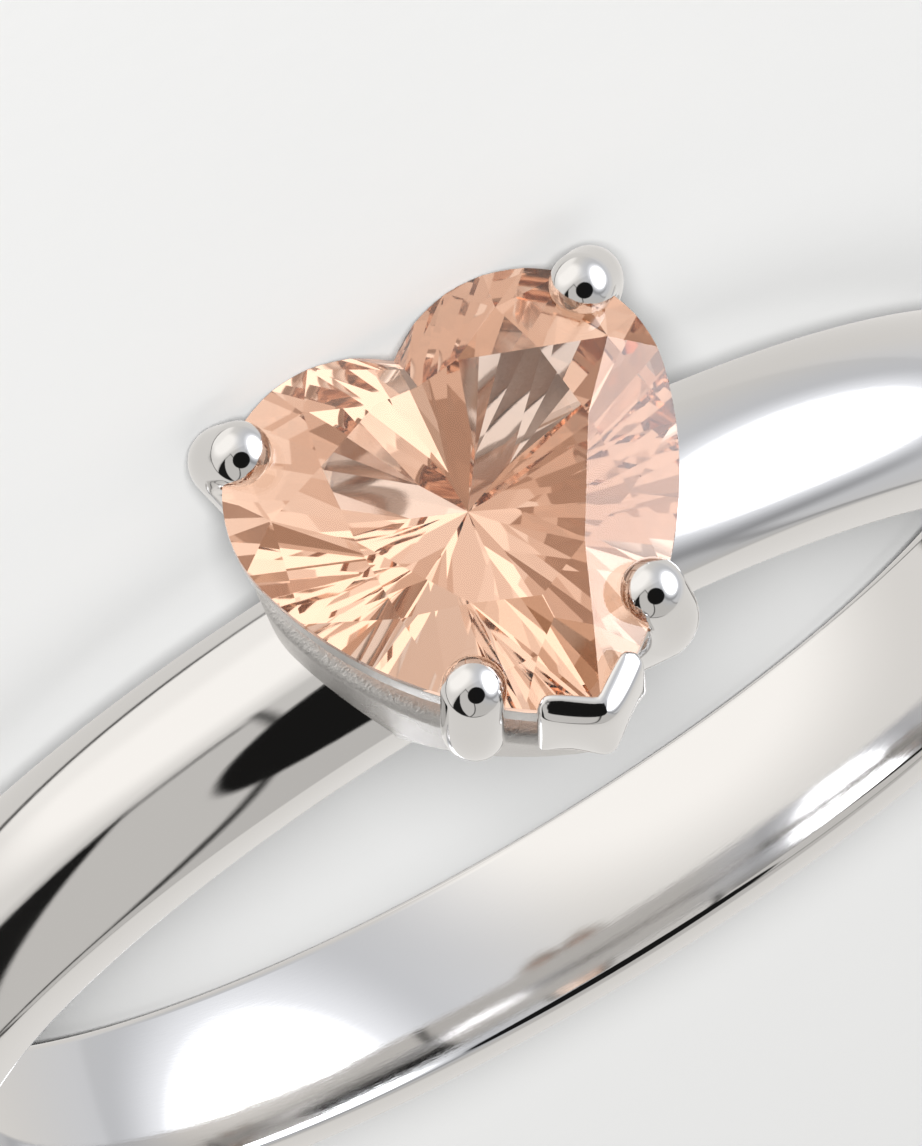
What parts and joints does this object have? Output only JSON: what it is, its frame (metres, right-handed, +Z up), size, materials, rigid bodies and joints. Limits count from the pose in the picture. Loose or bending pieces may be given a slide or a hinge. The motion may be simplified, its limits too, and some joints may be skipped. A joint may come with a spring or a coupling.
{
  "type": "heart ring",
  "caption": "Finger ring with a domed band and a faceted heart-cut stone held by round prongs and a V-shaped prong over its tip, lying on its side.",
  "frame": {"origin": "centre of the finger hole, on its axis and midway through the band's width", "axes": "the ring lies on its side as it rests: -Y towards the head with the stone, +Z up on the side of the heart's tip, +X along the heart's width"},
  "size_m": [0.0204, 0.0248, 0.0061],
  "materials": {
    "polished_metal": "polished",
    "peach_stone": "faceted and polished"
  },
  "bodies": {
    "root": {"band_and_setting": "polished_metal", "heart_stone": "peach_stone"}
  },
  "joints": []
}
